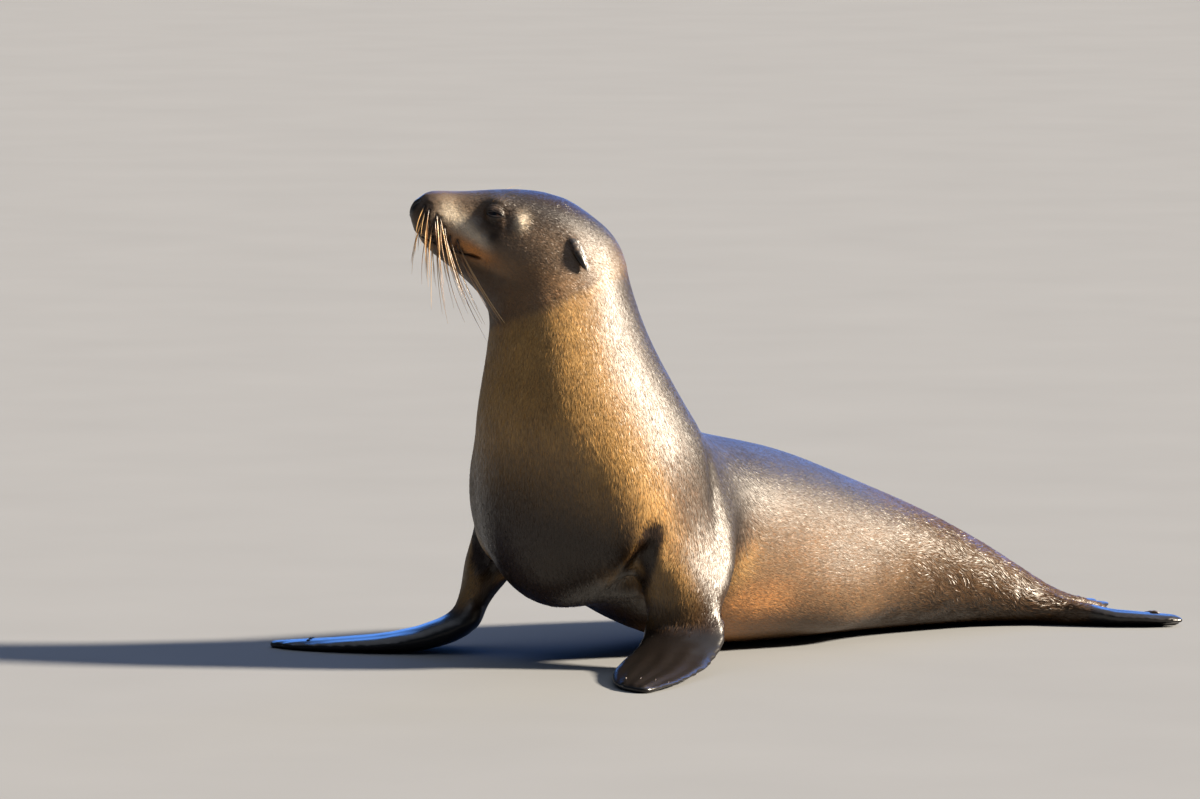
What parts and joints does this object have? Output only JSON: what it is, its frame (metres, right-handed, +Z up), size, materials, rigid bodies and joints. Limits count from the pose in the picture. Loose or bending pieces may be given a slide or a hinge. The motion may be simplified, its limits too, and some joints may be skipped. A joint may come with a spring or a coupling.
{
  "type": "sea lion",
  "caption": "Young sea lion at rest, sitting up on its fore flippers with belly and hind flippers on the ground and its head raised and turned to the side.",
  "frame": {"origin": "on the ground, under the middle of the whole animal's outline", "axes": "+X towards the tail, +Y to the animal's right, +Z up"},
  "size_m": [1.1136, 0.6962, 0.582],
  "materials": {
    "coat": "short dense fur, wet and glossy, dark brown above and tan below",
    "flipper_skin": "nearly bare leathery skin, wet",
    "ear_skin": "thin dark skin, wet",
    "nose_skin": "bare pebbled black skin, wet",
    "eye": "clear and glossy over a dark brown iris"
  },
  "bodies": {
    "root": {"head": "coat", "lower_jaw": "coat", "neck": "coat", "chest": "coat", "trunk": "coat", "rump": "coat", "tail": "coat", "arm_left": "coat", "arm_right": "coat", "hind_leg_left": "coat", "hind_leg_right": "coat", "fore_flipper_left": "flipper_skin", "fore_flipper_right": "flipper_skin", "hind_flipper_left": "flipper_skin", "hind_flipper_right": "flipper_skin", "ear_left": "ear_skin", "ear_right": "ear_skin", "nose": "nose_skin", "eye_left": "eye", "eye_right": "eye"}
  },
  "joints": []
}
